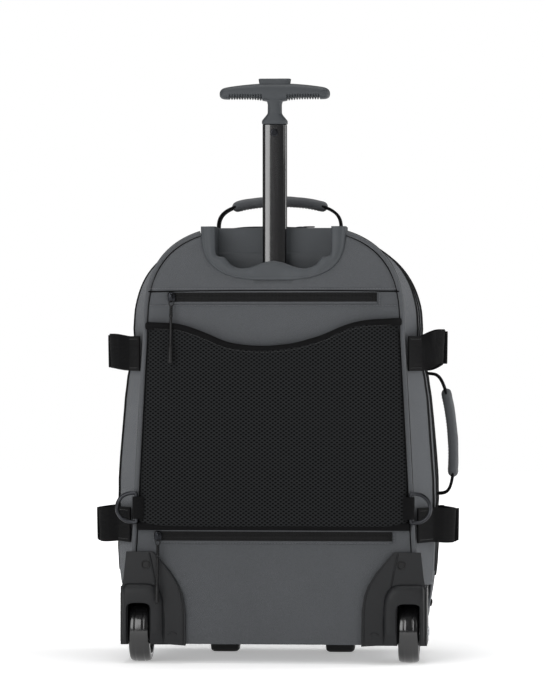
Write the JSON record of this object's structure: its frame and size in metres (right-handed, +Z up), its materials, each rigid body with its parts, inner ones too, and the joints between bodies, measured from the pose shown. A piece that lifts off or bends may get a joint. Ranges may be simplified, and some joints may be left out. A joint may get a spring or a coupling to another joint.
{
  "type": "rolling laptop case",
  "caption": "Wheeled laptop case with arched top, telescopic T-handle in a moulded tray, rear mesh pocket, side straps and corner wheels.",
  "frame": {"origin": "on the floor, under the middle of the whole case's box", "axes": "-Y is the trolley side with the wheels and mesh pocket, +Y the front door, +X the side with the grab handle, +Z up"},
  "size_m": [0.4136, 0.221, 0.669],
  "materials": {
    "grey_fabric": "heather grey woven polyester, matt",
    "side_fabric": "grey woven polyester, matt",
    "black_fabric": "black padded lining fabric, matt",
    "black_webbing": "black ribbed polypropylene webbing and cord",
    "spacer_mesh": "black spacer mesh with fine open cells",
    "board": "dark extruded sheet, matt",
    "dark_plastic": "dark grey moulded plastic, fine grain",
    "tray_plastic": "dark grey moulded plastic, fine grain",
    "grip_plastic": "mid grey moulded plastic, satin",
    "black_metal": "gloss black anodised aluminium tube",
    "gunmetal": "polished gunmetal plating",
    "steel": "bright steel",
    "wheel_rubber": "smooth black polyurethane, semi-gloss",
    "hub_plastic": "dark moulded nylon"
  },
  "bodies": {
    "root": {"back_panel": "grey_fabric", "main_shell": "side_fabric", "laptop_sleeve": "black_fabric", "shoulder_strap_left": "black_fabric", "shoulder_strap_right": "black_fabric", "upper_zip": "black_webbing", "lower_zip": "black_webbing", "ring_tab_left": "black_webbing", "ring_tab_right": "black_webbing", "strap_upper_left": "black_webbing", "strap_upper_right": "black_webbing", "strap_lower_left": "black_webbing", "strap_lower_right": "black_webbing", "mesh_pocket": "spacer_mesh", "frame_sheet": "board", "base_board": "board", "front_foot": "dark_plastic", "wheel_housing_left": "dark_plastic", "wheel_housing_right": "dark_plastic", "guide_bush": "dark_plastic", "buckle_upper_left": "dark_plastic", "buckle_upper_right": "dark_plastic", "buckle_lower_left": "dark_plastic", "buckle_lower_right": "dark_plastic", "handle_tray": "tray_plastic", "outer_tube": "black_metal", "axle_left": "steel", "axle_right": "steel"},
    "door": {"front_door": "side_fabric"},
    "middle_stage": {"middle_tube": "black_metal", "middle_foot": "dark_plastic"},
    "upper_stage": {"upper_tube": "black_metal", "upper_lock": "dark_plastic", "grip": "grip_plastic", "grip_screw": "steel", "button_spring": "steel"},
    "button": {"release_button": "grip_plastic", "push_rod": "steel"},
    "lock_pin_body": {"lock_pin": "steel"},
    "wheel_left": {"tyre_left": "wheel_rubber", "hub_left": "hub_plastic", "bearing_inner_left": "steel", "bearing_outer_left": "steel"},
    "wheel_right": {"tyre_right": "wheel_rubber", "hub_right": "hub_plastic", "bearing_inner_right": "steel", "bearing_outer_right": "steel"},
    "ring_left": {"d_ring_left": "gunmetal"},
    "ring_right": {"d_ring_right": "gunmetal"},
    "carry_handle": {"top_handle": "grey_fabric"},
    "grab_handle": {"side_handle": "grey_fabric"},
    "upper_zip_slider": {"upper_slider": "gunmetal"},
    "upper_zip_pull": {"upper_pull": "black_webbing"},
    "lower_zip_slider": {"lower_slider": "gunmetal"},
    "lower_zip_pull": {"lower_pull": "black_webbing"},
    "door_zip_slider": {"door_slider": "gunmetal"},
    "buckle_plug_upper_left": {"plug_upper_left": "dark_plastic"},
    "buckle_plug_upper_right": {"plug_upper_right": "dark_plastic"},
    "buckle_plug_lower_left": {"plug_lower_left": "dark_plastic"},
    "buckle_plug_lower_right": {"plug_lower_right": "dark_plastic"}
  },
  "joints": [
    {"name": "middle_slide", "type": "slide", "parent": "root", "child": "middle_stage", "axis": [0, 0, 1], "range_m": [0, 0.27]},
    {"name": "upper_slide", "type": "slide", "parent": "middle_stage", "child": "upper_stage", "axis": [0, 0, 1], "range_m": [-0.171, 0.1]},
    {"name": "button_press", "type": "slide", "parent": "upper_stage", "child": "button", "axis": [0, 0, -1], "range_m": [0, 0.004], "stiffness_N_per_m": 1500, "springref_m": -0.002, "deforming": ["button_spring"]},
    {"name": "lock_pin_slide", "type": "slide", "parent": "upper_stage", "child": "lock_pin_body", "axis": [-1, 0, 0], "range_m": [0, 0.0025]},
    {"name": "wheel_left_spin", "type": "hinge", "parent": "root", "child": "wheel_left", "pos_m": [-0.154, -0.06251, 0.036], "axis": [1, 0, 0], "continuous": true},
    {"name": "wheel_right_spin", "type": "hinge", "parent": "root", "child": "wheel_right", "pos_m": [0.154, -0.06251, 0.036], "axis": [1, 0, 0], "continuous": true},
    {"name": "ring_left_swing", "type": "hinge", "parent": "root", "child": "ring_left", "pos_m": [-0.157, -0.09571, 0.178], "axis": [0, 0, -1], "range_deg": [-120, 20]},
    {"name": "ring_right_swing", "type": "hinge", "parent": "root", "child": "ring_right", "pos_m": [0.157, -0.09571, 0.178], "axis": [0, 0, 1], "range_deg": [-120, 20]},
    {"name": "carry_handle_lean", "type": "hinge", "parent": "root", "child": "carry_handle", "pos_m": [0, 0.01849, 0.49646], "axis": [1, 0, 0], "range_deg": [-35, 50]},
    {"name": "grab_handle_lean", "type": "hinge", "parent": "root", "child": "grab_handle", "pos_m": [0.1831, 0.00049, 0.262], "axis": [-0.0879, 0, 0.9961], "range_deg": [-40, 40]},
    {"name": "upper_zip_slide", "type": "slide", "parent": "root", "child": "upper_zip_slider", "axis": [1, 0, 0], "range_m": [0, 0.2328]},
    {"name": "upper_pull_swing", "type": "hinge", "parent": "upper_zip_slider", "child": "upper_zip_pull", "pos_m": [-0.1164, -0.09781, 0.4144], "axis": [-1, 0, 0], "range_deg": [0, 100]},
    {"name": "lower_zip_slide", "type": "slide", "parent": "root", "child": "lower_zip_slider", "axis": [1, 0, 0], "range_m": [0, 0.2634]},
    {"name": "lower_pull_swing", "type": "hinge", "parent": "lower_zip_slider", "child": "lower_zip_pull", "pos_m": [-0.1317, -0.09781, 0.1416], "axis": [-1, 0, 0], "range_deg": [0, 100]},
    {"name": "door_zip_slide", "type": "slide", "parent": "root", "child": "door_zip_slider", "axis": [1, 0, 0], "range_m": [-0.05, 0.03]},
    {"name": "door_open", "type": "hinge", "parent": "root", "child": "door", "pos_m": [0, 0.11049, 0.06], "axis": [-1, 0, 0], "range_deg": [0, 90]},
    {"name": "plug_upper_left_out", "type": "slide", "parent": "root", "child": "buckle_plug_upper_left", "axis": [0, 1, 0], "range_m": [0, 0.02]},
    {"name": "plug_upper_right_out", "type": "slide", "parent": "root", "child": "buckle_plug_upper_right", "axis": [0, 1, 0], "range_m": [0, 0.02]},
    {"name": "plug_lower_left_out", "type": "slide", "parent": "root", "child": "buckle_plug_lower_left", "axis": [0, 1, 0], "range_m": [0, 0.02]},
    {"name": "plug_lower_right_out", "type": "slide", "parent": "root", "child": "buckle_plug_lower_right", "axis": [0, 1, 0], "range_m": [0, 0.02]}
  ],
  "couplings": [
    {"joint": "lock_pin_slide", "follows": "button_press", "ratio": 0.625}
  ]
}
